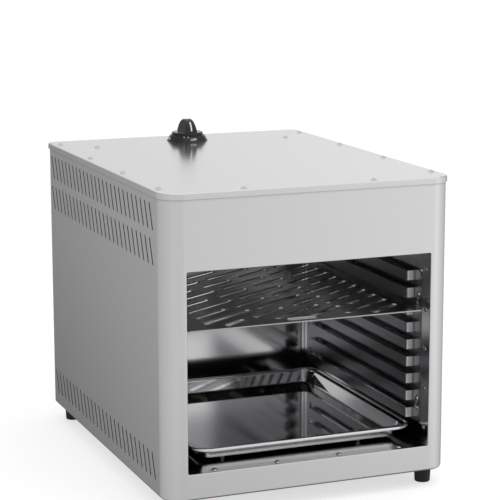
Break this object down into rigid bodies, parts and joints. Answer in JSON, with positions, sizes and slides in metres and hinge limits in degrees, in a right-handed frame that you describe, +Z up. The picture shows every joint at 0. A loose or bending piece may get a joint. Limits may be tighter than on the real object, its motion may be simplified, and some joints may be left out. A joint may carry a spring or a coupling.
{
  "type": "gas steak oven",
  "caption": "Countertop gas steak oven: open-fronted steel box with side racks of runners, slotted grate, drip tray, top knob and rubber feet.",
  "frame": {"origin": "on the table, under the middle of the bounding box", "axes": "+X to the right seen from the front, +Y to the rear, +Z up; the open front faces -Y"},
  "size_m": [0.3692, 0.4986, 0.415],
  "materials": {
    "body_steel": "brushed stainless steel sheet",
    "liner_steel": "bright rolled stainless steel sheet",
    "rack_steel": "satin stainless steel",
    "grate_steel": "satin stainless steel",
    "tray_steel": "mirror polished stainless steel",
    "fastener_steel": "bright stainless steel",
    "galvanised_steel": "galvanised sheet",
    "spring_steel": "spring wire",
    "knob_plastic": "glossy black thermoset",
    "bezel_plastic": "glossy black with white marks",
    "foot_rubber": "black rubber",
    "plaque_ceramic": "unglazed porous ceramic",
    "gasket_fibre": "ceramic fibre",
    "electrode_ceramic": "glazed white ceramic with a steel wire",
    "gas_brass": "machined brass",
    "pipe_aluminium": "drawn tube",
    "probe_copper": "copper",
    "igniter_plastic": "black moulded plastic",
    "lead_rubber": "silicone sleeve"
  },
  "bodies": {
    "housing": {"back_panel": "body_steel", "back_screws": "fastener_steel", "base_panel": "galvanised_steel", "base_screws": "fastener_steel", "bezel_screws": "fastener_steel", "burner_gasket": "gasket_fibre", "burner_housing": "liner_steel", "burner_screws": "fastener_steel", "ceiling_screws": "fastener_steel", "ceramic_plaque_1": "plaque_ceramic", "ceramic_plaque_2": "plaque_ceramic", "ceramic_plaque_3": "plaque_ceramic", "ceramic_plaque_4": "plaque_ceramic", "ceramic_plaque_5": "plaque_ceramic", "ceramic_plaque_6": "plaque_ceramic", "control_bracket": "galvanised_steel", "flange_rivets": "fastener_steel", "floor_screws": "fastener_steel", "foot_front_left": "foot_rubber", "foot_front_right": "foot_rubber", "foot_nuts": "fastener_steel", "foot_rear_left": "foot_rubber", "foot_rear_right": "foot_rubber", "foot_screws": "fastener_steel", "gas_supply_pipe": "pipe_aluminium", "heat_shield": "galvanised_steel", "ignition_electrode": "electrode_ceramic", "ignition_lead": "lead_rubber", "injector": "gas_brass", "injector_holder": "gas_brass", "inlet_connector": "gas_brass", "inlet_nut": "gas_brass", "knob_bezel": "bezel_plastic", "lid_screws": "fastener_steel", "liner_back": "liner_steel", "liner_floor": "liner_steel", "liner_left": "liner_steel", "liner_right": "liner_steel", "liner_screws": "fastener_steel", "liner_top": "liner_steel", "mixer_tube": "galvanised_steel", "outer_wrap": "body_steel", "piezo_igniter": "igniter_plastic", "plaque_retainer": "galvanised_steel", "rack_left": "rack_steel", "rack_right": "rack_steel", "rack_screws": "fastener_steel", "rear_support": "galvanised_steel", "shield_screws": "fastener_steel", "stem_spring": "spring_steel", "thermocouple": "probe_copper", "top_cover": "body_steel", "valve_body": "gas_brass", "valve_screws": "fastener_steel"},
    "grate": {"grate": "grate_steel"},
    "drip_tray": {"drip_tray": "tray_steel"},
    "knob_push": {"spring_collar": "fastener_steel"},
    "knob_turn": {"knob": "knob_plastic", "valve_stem": "gas_brass"}
  },
  "joints": [
    {"name": "grate_slide", "type": "slide", "parent": "housing", "child": "grate", "axis": [0, -1, 0], "range_m": [0, 0.24]},
    {"name": "tray_slide", "type": "slide", "parent": "housing", "child": "drip_tray", "axis": [0, -1, 0], "range_m": [0, 0.17]},
    {"name": "knob_press", "type": "slide", "parent": "housing", "child": "knob_push", "axis": [0, 0, -1], "range_m": [0, 0.004], "stiffness_N_per_m": 600, "springref_m": -0.004, "deforming": ["stem_spring"]},
    {"name": "knob_rotate", "type": "hinge", "parent": "knob_push", "child": "knob_turn", "pos_m": [0, 0.18135, 0.3855], "axis": [0, 0, -1], "range_deg": [0, 90]}
  ]
}
